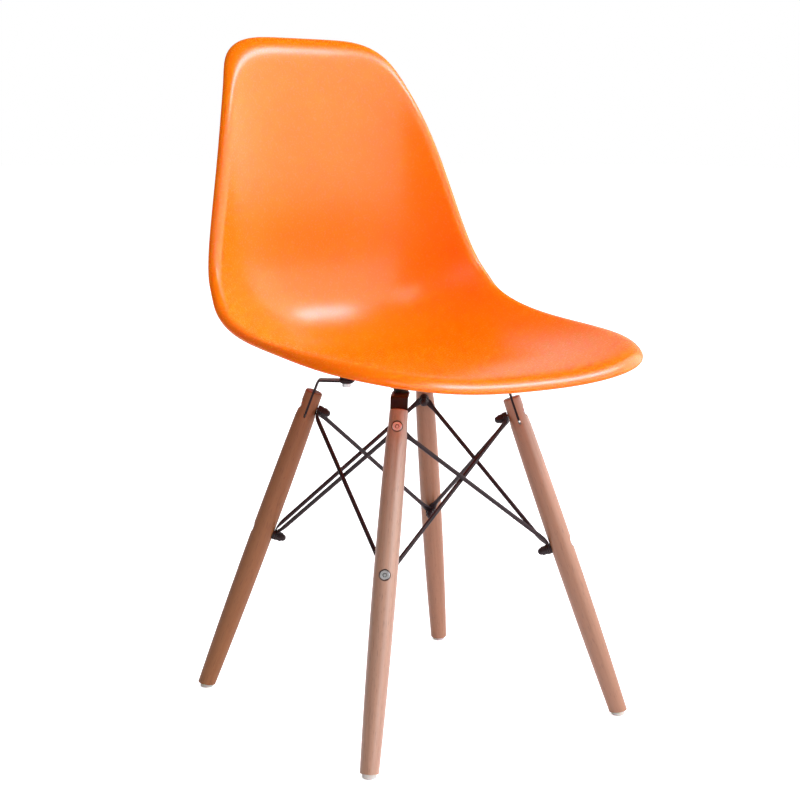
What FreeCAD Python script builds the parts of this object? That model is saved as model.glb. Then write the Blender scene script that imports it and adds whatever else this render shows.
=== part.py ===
import FreeCAD, Part
import math
import os

import Sketcher
from FreeCAD import Placement, Rotation, Vector

# A moulded plastic side chair: one shell on four leaning wooden legs, tied by eight steel rods.
# Millimetres. +Z is up, the sitter faces -Y, and the floor is z = 0.

doc = FreeCAD.newDocument("shell_chair")
sheet = doc.addObject("Spreadsheet::Sheet", "Sizes")

# Driving sizes: name, value, and what it measures.
SIZES = (
    ("origin_shift", 13.2, "how far the base axis stands in front of the origin"),
    # Shell
    ("wall", 5.0, "thickness of the moulded shell"),
    ("seat_dish_power", 2.41, "how late the seat curls up towards its sides"),
    ("back_dish_power", 2.69, "how late the back curls forward towards its sides"),
    ("dish_change", 80.0, "how far either side of its middle the seat's dish turns into the back's"),
    ("front_outline_power", 5.71, "squareness of the rounded front outline"),
    ("top_outline_power", 6.16, "squareness of the rounded top outline"),
    ("side_roll", 10.0, "outer radius of the rolled edge along the sides"),
    ("front_roll", 24.6, "outer radius of the rolled front edge"),
    ("top_roll", 37.1, "outer radius of the rolled top edge, if it went on past the top"),
    ("roll_draft_angle", 27.6, "degrees that the rolled edge stops short of straight down"),
    ("roll_lip", 0.4, "straight lip after the roll"),
    ("rise_spread", 80.0, "how far along the shell the direction of its rising sides is evened out"),
    ("boss_diameter", 26.0, "moulded boss over each mount"),
    ("boss_taper", 4.0, "how much wider a boss is at the shell than at its foot"),
    # The shell's middle line and its sides, from the front edge to the top
    ("lip_behind", -209.2, "base axis back to the shell's front edge"),
    ("lip_height", 30.7, "mount pads up to the shell's front edge"),
    ("lip_half_width", 201.2, "middle to side at the shell's front edge"),
    ("lip_edge_rise", 23.9, "how far the side rises at the shell's front edge"),
    ("front_behind", -139.9, "base axis back to the front of the seat"),
    ("front_height", 32.4, "mount pads up to the front of the seat"),
    ("front_half_width", 213.6, "middle to side at the front of the seat"),
    ("front_edge_rise", 25.1, "how far the side rises at the front of the seat"),
    ("thigh_behind", -47.2, "base axis back to the seat under the thighs"),
    ("thigh_height", 23.8, "mount pads up to the seat under the thighs"),
    ("thigh_half_width", 217.3, "middle to side at the seat under the thighs"),
    ("thigh_edge_rise", 37.4, "how far the side rises at the seat under the thighs"),
    ("seat_behind", 55.6, "base axis back to the lowest place of the seat"),
    ("seat_height", 17.9, "mount pads up to the lowest place of the seat"),
    ("seat_half_width", 208.4, "middle to side at the lowest place of the seat"),
    ("seat_edge_rise", 54.8, "how far the side rises at the lowest place of the seat"),
    ("heel_behind", 142.5, "base axis back to the seat's back end"),
    ("heel_height", 25.8, "mount pads up to the seat's back end"),
    ("heel_half_width", 196.1, "middle to side at the seat's back end"),
    ("heel_edge_rise", 78.4, "how far the side rises at the seat's back end"),
    ("bend_behind", 190.5, "base axis back to the bend up into the back"),
    ("bend_height", 77.5, "mount pads up to the bend up into the back"),
    ("bend_half_width", 190.4, "middle to side at the bend up into the back"),
    ("bend_edge_rise", 76.4, "how far the side rises at the bend up into the back"),
    ("lumbar_behind", 201.5, "base axis back to the small of the back"),
    ("lumbar_height", 180.4, "mount pads up to the small of the back"),
    ("lumbar_half_width", 172.1, "middle to side at the small of the back"),
    ("lumbar_edge_rise", 49.5, "how far the side rises at the small of the back"),
    ("shoulder_behind", 211.2, "base axis back to the upper back"),
    ("shoulder_height", 290.6, "mount pads up to the upper back"),
    ("shoulder_half_width", 147.1, "middle to side at the upper back"),
    ("shoulder_edge_rise", 30.9, "how far the side rises at the upper back"),
    ("crown_behind", 232.0, "base axis back to the shell's top edge"),
    ("crown_height", 389.2, "mount pads up to the shell's top edge"),
    ("crown_half_width", 130.3, "middle to side at the shell's top edge"),
    ("crown_edge_rise", 12.8, "how far the side rises at the shell's top edge"),
    # Brackets and mounts
    ("mount_radius", 80.7, "base axis to each mount screw"),
    ("arm_reach", 39.4, "mount screw to the middle of the leg's top end"),
    ("arm_swing_angle", 6.5, "degrees that each arm stands turned about its screw"),
    ("strap_thickness", 2.4, "flat steel of the brackets"),
    ("strap_width", 20.0, "width of the flat steel"),
    ("strap_bend", 1.8, "radius inside the bend"),
    ("strap_end", 9.5, "arm past the mount screw"),
    ("strap_end_flat", 3.0, "straight stretch between the rounded corners of the arm's end"),
    ("arm_rise", 13.8, "leg's top end up to the middle of the arm's thickness"),
    ("blade_past_bolt", 8.0, "bracket past the middle of the upper bolt"),
    ("pad_diameter", 17.0, "rubber pad between arm and boss"),
    ("pad_thickness", 5.0, "rubber pad between arm and boss"),
    ("mount_washer_diameter", 15.0, "washer under the arm"),
    ("mount_washer_thickness", 1.8, "washer under the arm"),
    ("mount_screw_diameter", 6.0, "screw up into the shell"),
    ("insert_spare", 2.0, "insert past the end of the screw"),
    ("mount_head_diameter", 11.0, "head of the mount screw"),
    ("mount_head_height", 5.0, "head of the mount screw"),
    ("mount_head_chamfer", 0.8, "chamfer of the mount screw's head and tip"),
    ("mount_socket", 4.0, "hex socket of the mount screw, across flats"),
    ("mount_socket_depth", 2.5, "hex socket of the mount screw"),
    ("insert_diameter", 9.0, "brass insert moulded into each boss"),
    ("insert_length", 11.0, "brass insert moulded into each boss"),
    # Legs
    ("foot_radius", 259.2, "base axis to the middle of each leg's foot"),
    ("leg_top_height", 385.0, "floor to the middle of the leg's top end"),
    ("leg_foot_diameter", 21.4, "leg at its foot"),
    ("leg_belly_diameter", 27.2, "leg at its thickest, round the lower bolt"),
    ("leg_shoulder_diameter", 24.4, "leg below its upper bolt"),
    ("leg_shoulder_drop", 36.0, "leg's top to its shoulder"),
    ("leg_neck_diameter", 21.8, "leg at its upper bolt"),
    ("leg_neck_drop", 20.0, "leg's top to where the neck begins"),
    ("leg_top_diameter", 21.2, "leg at its top end"),
    ("leg_edge_rounding", 1.8, "rounding of the leg's two ends"),
    ("foot_face_tilt", 10.0, "degrees between a leg's end face and the floor"),
    ("slot_spare", 4.5, "saw cut past the end of the bracket"),
    ("slot_clearance", 0.3, "saw cut wider than the bracket"),
    # Bolts through the legs
    ("upper_bolt_drop", 20.5, "leg's top to the upper bolt"),
    ("lower_bolt_height", 215.3, "foot to the lower bolt, at the leg's thickest place"),
    ("bolt_diameter", 6.0, "bolts through the legs"),
    ("bolt_hole_clearance", 0.4, "bolt holes larger than the bolts"),
    ("bolt_head_diameter", 11.0, "flat head of a leg bolt"),
    ("bolt_head_height", 2.6, "flat head of a leg bolt"),
    ("bolt_chamfer", 0.4, "chamfer of a leg bolt's head and tip"),
    ("bolt_socket", 4.8, "hex socket of a leg bolt, across flats"),
    ("bolt_socket_depth", 2.2, "hex socket of a leg bolt"),
    ("counterbore_clearance", 2.4, "recess for the head larger than the head"),
    ("head_recess", 1.0, "head below the surface of the leg"),
    ("washer_diameter", 12.0, "washer under each cap nut"),
    ("washer_thickness", 1.2, "washer under each cap nut"),
    ("nut_across_flats", 10.0, "cap nut"),
    ("nut_hex_height", 5.5, "cap nut below its dome"),
    ("nut_dome_diameter", 8.8, "dome of the cap nut"),
    ("nut_dome_height", 5.0, "dome of the cap nut"),
    ("nut_bore_clearance", 0.1, "bore of the nut larger than the bolt"),
    # Brace rods
    ("rod_diameter", 5.2, "round steel of the brace rods"),
    ("lug_diameter", 12.5, "flattened eye at each end of a rod"),
    ("lug_thickness", 2.2, "flattened eye at each end of a rod"),
    ("lug_gap", 0.15, "play between lugs, leg and washer"),
    ("lug_neck_width", 9.0, "flattened rod between eye and bend"),
    ("lug_neck_thickness", 2.0, "flattened rod between eye and bend"),
    ("lug_straight", 6.6, "eye centre to where the rod begins to bend"),
    ("lug_neck", 11.0, "eye centre to the middle of the rod's bend"),
    ("lug_blend", 12.0, "flat to round, past the bend"),
    ("rod_clearance", 0.25, "air between two rods where they cross"),
    # Glides
    ("glide_diameter", 16.0, "plastic glide under each leg"),
    ("glide_height", 5.4, "glide at its middle"),
    ("glide_rounding", 1.2, "rounding of the glide's lower edge"),
    ("nail_diameter", 2.4, "nail of a glide"),
    ("nail_length", 18.0, "nail of a glide"),
    ("nail_head_diameter", 6.0, "nail head inside the glide"),
    ("nail_head_height", 1.2, "nail head inside the glide"),
)

# The places of the shell's middle line that have sizes of their own, from its front edge to its top,
# and the sizes that each of them has.
PLACES = ("lip", "front", "thigh", "seat", "heel", "bend", "lumbar", "shoulder", "crown")
MEASURES = ("behind", "height", "half_width", "edge_rise")

# How finely the shell's surface is laid out.
INNER_ROWS = 14
ROLL_ROWS = 8
TIP_ROWS = 4
COLUMNS = 80

# Where the rolled edge widens towards front and top, as a share of half the shell's length,
# and how sharply sizes change from one stretch of the shell to the next.
FRONT_ROLL_START = -0.75
TOP_ROLL_START = 0.97
STEEPNESS = 6.0
TOP_ROLL_STEEPNESS = 14.0

# Where the direction of the shell's rising sides is looked up, in shares of its spread.
RISE_STEPS = (-1.0, -0.5, 0.0, 0.5, 1.0)

# A step along the shell that is small enough for measuring slopes, and how many times a place
# that has to be closed in on is looked for.
SMALL_STEP = 1e-4
CLOSING_STEPS = 30

# Two places closer together than this are the same.
SAME_PLACE = 0.01

# The legs stand on the diagonals: name and the direction from the base axis in degrees.
LEGS = (("front_right", 225.0), ("front_left", 315.0), ("back_left", 45.0), ("back_right", 135.0))


ALIASES = []


def enter(alias, value, meaning):
    """Writes a size into the next row of the sheet."""
    ALIASES.append(alias)
    row = len(ALIASES)
    sheet.set(f"A{row}", meaning)
    sheet.set(f"B{row}", repr(value))
    sheet.setAlias(f"B{row}", alias)


def worked_out(alias, value, meaning):
    """A size that follows from the driving ones, kept in the sheet for the sketches to use."""
    enter(alias, value, meaning)
    doc.recompute()


def size(alias):
    return float(sheet.get(alias))


for row in SIZES:
    enter(*row)
doc.recompute()

worked_out("arm_height", size("leg_top_height") + size("arm_rise"),
           "floor to the middle of the arm's thickness")
worked_out("blade_length", size("upper_bolt_drop") + size("blade_past_bolt"),
           "bracket inside the leg, from the leg's top")
worked_out("slot_depth", size("blade_length") + size("slot_spare"), "saw cut for the bracket")


class Term:
    """A length that carries both its value and its expression in the sheet."""

    def __init__(self, value, text):
        self.value = value
        self.text = text

    def __add__(self, other):
        other = term(other)
        return Term(self.value + other.value, f"({self.text} + {other.text})")

    def __sub__(self, other):
        other = term(other)
        return Term(self.value - other.value, f"({self.text} - {other.text})")

    def __mul__(self, other):
        other = term(other)
        return Term(self.value * other.value, f"({self.text} * {other.text})")

    def __truediv__(self, other):
        other = term(other)
        return Term(self.value / other.value, f"({self.text} / {other.text})")

    def __neg__(self):
        return Term(-self.value, f"(0 - {self.text})")


def term(value):
    if isinstance(value, Term):
        return value
    return Term(float(value), repr(float(value)))


def cell(alias):
    return Term(size(alias), f"Sizes.{alias}")


def bind(item, name, length):
    item.setExpression(name, term(length).text)


# Frames and heights of the base

def arm_top():
    return size("arm_height") + size("strap_thickness") / 2


def arm_bottom():
    return size("arm_height") - size("strap_thickness") / 2


def boss_foot():
    """The top of the mount pads, on which the shell stands."""
    return arm_top() + size("pad_thickness")


def base_turn(angle):
    """The base's own axis, turned to the diagonal that a leg stands on."""
    return Placement(Vector(0, -size("origin_shift"), 0), Rotation(Vector(0, 0, 1), angle))


def leg_geometry():
    """Where a leg on the +X diagonal stands: foot, top, its axis and its bolts' direction."""
    swing = math.radians(size("arm_swing_angle"))
    arm = Vector(math.cos(swing), math.sin(swing), 0)
    top = Vector(size("mount_radius"), 0, size("leg_top_height")) + arm * size("arm_reach")
    foot = Vector(size("foot_radius"), 0, size("glide_height"))
    axis = (top - foot).normalize()
    climb = -axis.dot(arm) / axis.z
    bolt = (arm + Vector(0, 0, climb)).normalize()
    return foot, top, axis, bolt, arm


FOOT, TOP, AXIS, BOLT, ARM = leg_geometry()
worked_out("leg_length", (TOP - FOOT).Length, "foot to top of a leg, along its axis")


def frame(origin, x_axis, z_axis):
    """A placement with the given origin, X axis and Z axis."""
    y_axis = z_axis.cross(x_axis)
    return Placement(origin, Rotation(x_axis, y_axis, z_axis, "ZXY"))


LEG_FRAME = frame(FOOT, BOLT, AXIS)


def leg_radius(height):
    """Half the leg's width at a height above its foot, as the sketch of its profile has it."""
    length = size("leg_length")
    belly = size("leg_belly_diameter") / 2
    belly_height = size("lower_bolt_height")
    shoulder_height = length - size("leg_shoulder_drop")
    neck_height = length - size("leg_neck_drop")
    neck = size("leg_neck_diameter") / 2
    shoulder = size("leg_shoulder_diameter") / 2
    if height <= belly_height:
        return arc_radius(height, belly, belly_height, size("leg_foot_diameter") / 2, 0.0)
    if height <= shoulder_height:
        return arc_radius(height, belly, belly_height, shoulder, shoulder_height)
    if height <= neck_height:
        share = (height - shoulder_height) / (neck_height - shoulder_height)
        return shoulder + (neck - shoulder) * share
    share = (height - neck_height) / (length - neck_height)
    return neck + (size("leg_top_diameter") / 2 - neck) * share


def arc_radius(height, belly, belly_height, end, end_height):
    """The swelling of a leg: an arc that is upright at the belly and passes through one end."""
    run = abs(end_height - belly_height)
    drop = belly - end
    curve = (run * run + drop * drop) / (2 * drop)
    offset = height - belly_height
    return belly - (curve - math.sqrt(curve * curve - offset * offset))


# Helpers for sketches and features

def origin_plane(body, role):
    return next(item for item in body.Origin.OriginFeatures if item.Role == role)


def new_body(name):
    body = doc.addObject("PartDesign::Body", name)
    doc.recompute()
    return body


def new_sketch(body, name, plane):
    sketch = body.newObject("Sketcher::SketchObject", name)
    sketch.AttachmentSupport = [(origin_plane(body, plane), "")]
    sketch.MapMode = "FlatFace"
    return sketch


def hold_point(sketch, geometry, point, x, y):
    """Ties a point of the sketch to two lengths measured from the sketch's origin."""
    for length, axis, distance in ((x, -2, "DistanceX"), (y, -1, "DistanceY")):
        length = term(length)
        if length.value == 0:
            sketch.addConstraint(Sketcher.Constraint("PointOnObject", geometry, point, axis))
            continue
        number = sketch.addConstraint(
            Sketcher.Constraint(distance, -1, 1, geometry, point, length.value))
        sketch.setExpression(f"Constraints[{number}]", length.text)


def closed_outline(sketch, corners, arc_centres=None):
    """Draws a closed outline. An edge in arc_centres is an arc whose centre has that height."""
    arc_centres = arc_centres or {}
    places = [Vector(term(x).value, term(y).value, 0) for x, y in corners]
    count = len(places)
    for index, place in enumerate(places):
        after = places[(index + 1) % count]
        if index in arc_centres:
            sketch.addGeometry(bulge(place, after, term(arc_centres[index]).value))
        else:
            sketch.addGeometry(Part.LineSegment(place, after))
    ends = {index: arc_ends(sketch.Geometry[index], places[index]) for index in range(count)}
    for index, (x, y) in enumerate(corners):
        hold_point(sketch, index, ends[index][0], x, y)
        before = (index - 1) % count
        sketch.addConstraint(
            Sketcher.Constraint("Coincident", before, ends[before][1], index, ends[index][0]))
    for index, height in arc_centres.items():
        height = term(height)
        number = sketch.addConstraint(
            Sketcher.Constraint("DistanceY", -1, 1, index, 3, height.value))
        sketch.setExpression(f"Constraints[{number}]", height.text)


def bulge(start, end, centre_height):
    """An arc from start to end, bulging away from the Y axis, centred at a given height."""
    rise = (end.x ** 2 - start.x ** 2) + (end.y - centre_height) ** 2 - (start.y - centre_height) ** 2
    centre_x = rise / (2 * (end.x - start.x))
    centre = Vector(centre_x, centre_height, 0)
    radius = (start - centre).Length
    middle = centre + (((start + end) * 0.5) - centre).normalize() * radius
    return Part.Arc(start, middle, end)


def arc_ends(geometry, start):
    """Numbers of the edge's first and last point, as the sketch counts them."""
    if (geometry.StartPoint - start).Length < SAME_PLACE:
        return 1, 2
    return 2, 1


def revolved(body, sketch):
    feature = body.newObject("PartDesign::Revolution", f"{body.Name}_turned")
    feature.Profile = sketch
    feature.ReferenceAxis = (sketch, ["V_Axis"])
    feature.Angle = 360
    doc.recompute()
    return feature


def cylinder(name, diameter, height, place=None):
    item = doc.addObject("Part::Cylinder", name)
    bind(item, "Radius", term(diameter) / 2)
    bind(item, "Height", height)
    if place is not None:
        item.Placement = place
    return item


def box(name, length, width, height, place=None):
    item = doc.addObject("Part::Box", name)
    bind(item, "Length", length)
    bind(item, "Width", width)
    bind(item, "Height", height)
    if place is not None:
        item.Placement = place
    return item


def cut(name, base, tools):
    """The base with every tool taken out of it."""
    item = doc.addObject("Part::Cut", name)
    item.Base = base
    item.Tool = tools[0] if len(tools) == 1 else fuse(f"{name}_tools", tools)
    doc.recompute()
    return item


def fuse(name, items):
    item = doc.addObject("Part::MultiFuse", name)
    item.Shapes = items
    doc.recompute()
    return item


PARTS = []


def keep(item, name, place):
    """Names a finished sub-part and puts it in its place."""
    item.Label = name
    item.Placement = place
    PARTS.append(item)
    return item


def keep_shape(name, shape, place):
    item = doc.addObject("Part::Feature", name)
    item.Shape = shape
    return keep(item, name, place)


def keep_group(name, shape, places):
    """Identical pieces as one node: a group of separate solids."""
    copies = [shape.transformed(place.toMatrix(), True) for place in places]
    return keep_shape(name, Part.makeCompound(copies), Placement())


# Shell

def natural_spline(knots, values):
    """A cubic curve through the values, straight at its two ends: returns value and slope."""
    count = len(knots)
    gaps = [knots[i + 1] - knots[i] for i in range(count - 1)]
    bends = [0.0] * count
    ratio = [0.0] * count
    load = [0.0] * count
    for i in range(1, count - 1):
        turn = (values[i + 1] - values[i]) / gaps[i] - (values[i] - values[i - 1]) / gaps[i - 1]
        pivot = 2 * (gaps[i - 1] + gaps[i]) - gaps[i - 1] * ratio[i - 1]
        ratio[i] = gaps[i] / pivot
        load[i] = (6 * turn - gaps[i - 1] * load[i - 1]) / pivot
    for i in range(count - 2, 0, -1):
        bends[i] = load[i] - ratio[i] * bends[i + 1]

    def at(place):
        i = 0
        while i < count - 2 and place > knots[i + 1]:
            i += 1
        gap = gaps[i]
        b = (place - knots[i]) / gap
        a = 1 - b
        value = (a * values[i] + b * values[i + 1]
                 + ((a ** 3 - a) * bends[i] + (b ** 3 - b) * bends[i + 1]) * gap * gap / 6)
        slope = ((values[i + 1] - values[i]) / gap
                 + ((3 * b * b - 1) * bends[i + 1] - (3 * a * a - 1) * bends[i]) * gap / 6)
        return value, slope

    return at


def shell_curves():
    """The sizes of the places as smooth curves along the shell's middle line."""
    rows = [[size(f"{place}_{measure}") for measure in MEASURES] for place in PLACES]
    knots = [0.0]
    for before, after in zip(rows, rows[1:]):
        knots.append(knots[-1] + math.hypot(after[0] - before[0], after[1] - before[1]))
    return knots[-1], [natural_spline(knots, list(column)) for column in zip(*rows)]


SHELL_LENGTH, CURVES = shell_curves()


def blend(value, centre, steepness):
    """A smooth step from 0 to 1 about the centre."""
    return (1 + math.tanh((value - centre) * steepness)) / 2


def rise_direction(place):
    """The direction in which the sides rise. It turns more slowly than the middle line does."""
    lean = 0.0
    for step in RISE_STEPS:
        spot = min(max(place + step * size("rise_spread"), 0.0), SHELL_LENGTH)
        lean += math.atan2(CURVES[1](spot)[1], CURVES[0](spot)[1]) / len(RISE_STEPS)
    return Vector(0, -math.sin(lean), math.cos(lean))


def shell_place(across, along):
    """A point on the sitter's side, and the direction in which the shell's sides rise there.

    across and along run from -1 to 1 over the whole shell, which stands on its mount pads.
    """
    place = (along + 1) * SHELL_LENGTH / 2
    behind, height, half_width, rise = (curve(place)[0] for curve in CURVES)
    upward = rise_direction(place)
    upright = blend(along, 0.0, SHELL_LENGTH / (2 * size("dish_change")))
    power = size("seat_dish_power") * (1 - upright) + size("back_dish_power") * upright
    lift = rise * abs(across) ** power
    return Vector(half_width * across, behind, boss_foot() + height) + upward * lift, upward


def outline(angle):
    """The shell's rounded outline in across and along."""
    c, s = math.cos(angle), math.sin(angle)
    top = blend(s, 0.0, STEEPNESS)
    power = size("front_outline_power") * (1 - top) + size("top_outline_power") * top
    reach = (abs(c) ** power + abs(s) ** power) ** (-1 / power)
    return reach * c, reach * s


def shell_normal(across, along, angle):
    """The direction square to the surface, on the sitter's side."""
    c, s = SMALL_STEP * math.cos(angle), SMALL_STEP * math.sin(angle)
    outward = shell_place(across + c, along + s)[0] - shell_place(across - c, along - s)[0]
    sideways = shell_place(across - s, along + c)[0] - shell_place(across + s, along - c)[0]
    return outward.cross(sideways).normalize()


def roll_radius(along):
    front = 1 - blend(along, FRONT_ROLL_START, STEEPNESS)
    top = blend(along, TOP_ROLL_START, TOP_ROLL_STEEPNESS)
    side = size("side_roll")
    return side + (size("front_roll") - side) * front + (size("top_roll") - side) * top


def edge_frame(angle):
    """Where the rolled edge starts at this angle: place, outward, normal, radius and turn."""
    across, along = outline(angle)
    point, upward = shell_place(across, along)
    normal = shell_normal(across, along, angle)
    ahead = shell_place(*outline(angle + SMALL_STEP))[0]
    behind = shell_place(*outline(angle - SMALL_STEP))[0]
    run = (ahead - behind).normalize()
    outward = run.cross(normal).normalize()
    down = math.atan2(upward.dot(normal), -upward.dot(outward))
    return point, outward, normal, roll_radius(along), down - math.radians(size("roll_draft_angle"))


def shell_column(angle):
    """One line over the shell in three runs: upper side, rolled edge and underside."""
    wall = size("wall")
    across, along = outline(angle)
    edge, outward, normal, radius, turn = edge_frame(angle)
    upper, lower = [], []
    for row in [0, 1 / 3] + list(range(1, INNER_ROWS)):
        share = row / INNER_ROWS
        point = shell_place(across * share, along * share)[0]
        square = shell_normal(across * share, along * share, angle if row else 0.0)
        upper.append(point)
        lower.append(point - square * wall)
    lead = outward * ((edge - upper[-1]).Length / 3)
    below = edge - normal * wall
    upper += [edge - lead, edge]
    lower += [below - lead, below]
    centre = edge - normal * radius
    over, under = [], []
    for row in range(ROLL_ROWS + 1):
        swing = turn * row / ROLL_ROWS
        spoke = normal * math.cos(swing) + outward * math.sin(swing)
        over.append(centre + spoke * radius)
        under.append(centre + spoke * (radius - wall))
    onward = outward * math.cos(turn) - normal * math.sin(turn)
    middle = centre + spoke * (radius - wall / 2) + onward * size("roll_lip")
    tip = []
    for row in range(TIP_ROWS + 1):
        swing = math.pi * row / TIP_ROWS
        tip.append(middle + (spoke * math.cos(swing) + onward * math.sin(swing)) * (wall / 2))
    return upper, over + tip + under[::-1], lower


def bend(before, here, after):
    return before - here * 2 + after


def through_ring(ring):
    """Moves each place of a closed ring so that the smooth curve through it meets it."""
    count = len(ring)
    return [ring[j] - bend(ring[j - 1], ring[j], ring[(j + 1) % count]) * (1 / 6)
            for j in range(count)]


def ring_knots(count):
    return [1] * (count + 1), [float(j) for j in range(count + 1)]


def ring_wire(ring):
    """A smooth closed wire through a ring of places."""
    times, knots = ring_knots(len(ring))
    curve = Part.BSplineCurve()
    curve.buildFromPolesMultsKnots(through_ring(ring), times, knots, True, 3)
    return Part.Wire([curve.toShape()])


def smooth_face(rings):
    """A smooth face through rings of places, of which the first is a single point."""
    level = [through_ring(ring) for ring in rings]
    poles = list(level)
    for i in range(2, len(rings) - 2):
        poles[i] = [here - bend(before, here, after) * (1 / 6)
                    for before, here, after in zip(level[i - 1], level[i], level[i + 1])]
    spans = len(rings) - 3
    times, knots = ring_knots(len(rings[0]))
    surface = Part.BSplineSurface()
    surface.buildFromPolesMultsKnots(
        poles, [4] + [1] * (spans - 1) + [4], times,
        [float(i) for i in range(spans + 1)], knots, False, True, 3, 3)
    return surface.toShape()


def shell_solid():
    columns = [shell_column(2 * math.pi * (j + 0.5) / COLUMNS) for j in range(COLUMNS)]
    upper, rim, lower = ([list(ring) for ring in zip(*[column[run] for column in columns])]
                         for run in range(3))
    edge = Part.makeLoft([ring_wire(ring) for ring in rim], False, True)
    skin = Part.makeShell([smooth_face(upper), smooth_face(lower)] + edge.Faces)
    skin.sewShape()
    solid = Part.makeSolid(skin)
    if solid.Volume < 0:
        solid.reverse()
    return solid


def underside_height(x, y):
    """Height of the shell's underside above a place of the base, closed in on step by step."""
    across, along = 0.0, -0.5
    for _ in range(CLOSING_STEPS):
        point = shell_place(across, along)[0] - shell_normal(across, along, 0.0) * size("wall")
        across += (x - point.x) / size("seat_half_width")
        along += (y - point.y) / SHELL_LENGTH
    return point.z


def mount_place(angle, height):
    """A place on the axis of the mount screw that stands on this diagonal."""
    turn = math.radians(angle)
    radius = size("mount_radius")
    return Vector(radius * math.cos(turn), radius * math.sin(turn), height)


def make_shell():
    """The shell with a boss over each mount, bored for its insert."""
    shell = shell_solid()
    bosses = []
    bores = []
    for _, angle in LEGS:
        foot = mount_place(angle, boss_foot())
        height = underside_height(foot.x, foot.y) + size("wall") / 2 - foot.z
        radius = size("boss_diameter") / 2
        bosses.append(Part.makeCone(radius, radius + size("boss_taper") / 2, height, foot))
        bores.append(Part.makeCylinder(size("insert_diameter") / 2, size("insert_length"), foot))
    shape = shell.fuse(bosses).cut(Part.makeCompound(bores))
    keep_shape("seat_shell", shape.Solids[0], base_turn(0))


# Brackets, pads and mount screws

def bracket_frame(angle):
    """The base frame of one bracket: origin under its mount screw, X along its arm."""
    swing = Placement(Vector(size("mount_radius"), 0, 0),
                      Rotation(Vector(0, 0, 1), size("arm_swing_angle")))
    return base_turn(angle).multiply(swing)


worked_out("lean_sine", BOLT.z, "lean of the legs across their bolts")
worked_out("lean_cosine", BOLT.dot(ARM), "lean of the legs across their bolts")


def make_bracket(name, angle):
    """Flat steel: an arm under the shell, bent down into a blade that fills the leg's slot."""
    half = cell("strap_thickness") / 2
    sine = cell("lean_sine")
    cosine = cell("lean_cosine")
    arm = cell("arm_height")
    fold = cell("arm_reach") - (arm - cell("leg_top_height")) * sine / cosine
    miter = half * cosine / (sine + 1)
    end_x = cell("arm_reach") + cell("blade_length") * sine
    end_z = cell("leg_top_height") - cell("blade_length") * cosine
    body = new_body(f"bracket_{name}")
    sketch = new_sketch(body, f"bracket_{name}_side", "XZ_Plane")
    closed_outline(sketch, [
        (-cell("strap_end"), arm - half),
        (fold - miter, arm - half),
        (end_x - half * cosine, end_z - half * sine),
        (end_x + half * cosine, end_z + half * sine),
        (fold + miter, arm + half),
        (-cell("strap_end"), arm + half),
    ])
    strip = body.newObject("PartDesign::Pad", f"bracket_{name}_strip")
    strip.Profile = sketch
    strip.Midplane = True
    bind(strip, "Length", cell("strap_width"))
    doc.recompute()
    bend_radius = cell("strap_bend")
    inside = rounded(body, strip, bend_radius, f"bracket_{name}_inside",
                     lambda edge: along_y(edge) and near(edge, (fold - miter).value, arm_bottom()))
    outside = rounded(body, inside, bend_radius + cell("strap_thickness"), f"bracket_{name}_outside",
                      lambda edge: along_y(edge) and near(edge, (fold + miter).value, arm_top()))
    rounded(body, outside, (cell("strap_width") - cell("strap_end_flat")) / 2, f"bracket_{name}_end",
            lambda edge: along_z(edge) and abs(edge.BoundBox.Center.x + size("strap_end")) < SAME_PLACE)
    across = Rotation(Vector(0, 0, 1), Vector(size("lean_cosine"), 0, size("lean_sine")))
    to_bracket = bracket_frame(0).inverse().multiply(base_turn(0))
    bolt_place = to_bracket.multVec(leg_point(0, upper_bolt_height()))
    start = bolt_place - across.multVec(Vector(0, 0, size("leg_belly_diameter") / 2))
    play = cell("bolt_hole_clearance")
    bored = cut(f"bracket_{name}_bored", body, [
        cylinder(f"bracket_{name}_screw_hole", cell("mount_screw_diameter") + play, arm + arm),
        cylinder(f"bracket_{name}_bolt_hole", cell("bolt_diameter") + play, cell("leg_belly_diameter"),
                 Placement(start, across)),
    ])
    keep(bored, f"leg_bracket_{name}", bracket_frame(angle))


def along_y(edge):
    return edge.BoundBox.YLength > edge.BoundBox.XLength + edge.BoundBox.ZLength


def along_z(edge):
    return edge.BoundBox.ZLength > edge.BoundBox.XLength + edge.BoundBox.YLength


def near(edge, x, z):
    centre = edge.BoundBox.Center
    return math.hypot(centre.x - x, centre.z - z) < SAME_PLACE


def rounded(body, base, radius, name, test):
    """Rounds those edges of a body's feature that pass the test."""
    edges = [f"Edge{number}" for number, edge in enumerate(base.Shape.Edges, start=1) if test(edge)]
    fillet = body.newObject("PartDesign::Fillet", name)
    fillet.Base = (base, edges)
    bind(fillet, "Radius", radius)
    doc.recompute()
    return fillet


def make_mount_pad(name, angle):
    pad = ring(f"pad_{name}", cell("pad_diameter"),
               cell("mount_screw_diameter") + cell("bolt_hole_clearance"), cell("pad_thickness"))
    place = Placement(mount_place(0, arm_top()), Rotation())
    keep(pad, f"mount_pad_{name}", base_turn(angle).multiply(place))


def ring(name, outer, inner, height):
    """A washer, or any other short tube."""
    disc = cylinder(f"{name}_outer", outer, height)
    return cut(name, disc, [cylinder(f"{name}_inner", inner, height)])


def hex_corners(across_flats):
    """Six corners of a hexagon with two flats square to X."""
    flat = across_flats / 2
    tip = across_flats / math.sqrt(3)
    return [(flat, tip / 2), (0.0, tip), (-flat, tip / 2),
            (-flat, -tip / 2), (0.0, -tip), (flat, -tip / 2)]


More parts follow.
